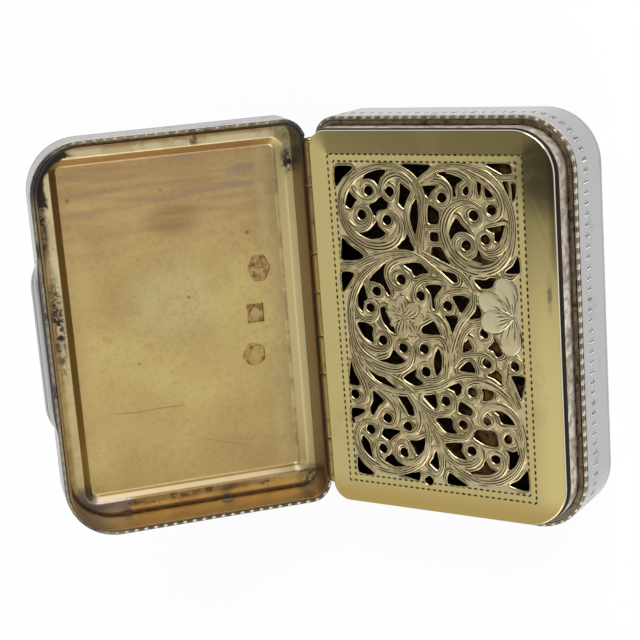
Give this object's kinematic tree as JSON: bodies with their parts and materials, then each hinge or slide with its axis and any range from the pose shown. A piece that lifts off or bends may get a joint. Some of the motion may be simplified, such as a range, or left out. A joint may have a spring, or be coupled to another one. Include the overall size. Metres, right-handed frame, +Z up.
{
  "type": "silver vinaigrette",
  "caption": "Small hinged silver box with rounded front corners, a sunk lid panel and a hinged gilt grille pierced with scrolls over a scented sponge.",
  "frame": {"origin": "centre of the underside of the base", "axes": "+X from the hinge to the front, +Y along the hinge, +Z up from the base"},
  "size_m": [0.0441, 0.035, 0.0236],
  "materials": {
    "silver": "polished silver, worn and tarnished in the corners",
    "gilt": "worn silver gilt, satin",
    "sponge": "dried natural sponge"
  },
  "bodies": {
    "box": {"base_plate": "silver", "side_band": "silver", "mouth_bead": "silver", "liner": "gilt", "sponge": "sponge", "box_tube_left": "silver", "box_tube_middle": "silver", "box_tube_right": "silver", "hinge_pin": "silver"},
    "grille": {"grille_plate": "gilt", "grille_strap_left": "gilt", "grille_strap_right": "gilt"},
    "lid": {"lid_band": "silver", "lid_plate": "silver", "lid_bead": "silver", "lid_tube_left": "silver", "lid_tube_right": "silver", "thumb_piece": "silver"}
  },
  "joints": [
    {"name": "grille_hinge", "type": "hinge", "parent": "box", "child": "grille", "pos_m": [-0.01237, 0, 0.0057], "axis": [0, -1, 0], "range_deg": [0, 46]},
    {"name": "lid_hinge", "type": "hinge", "parent": "grille", "child": "lid", "pos_m": [-0.01237, 0, 0.0057], "axis": [0, -1, 0], "range_deg": [-133.5, 0]}
  ]
}
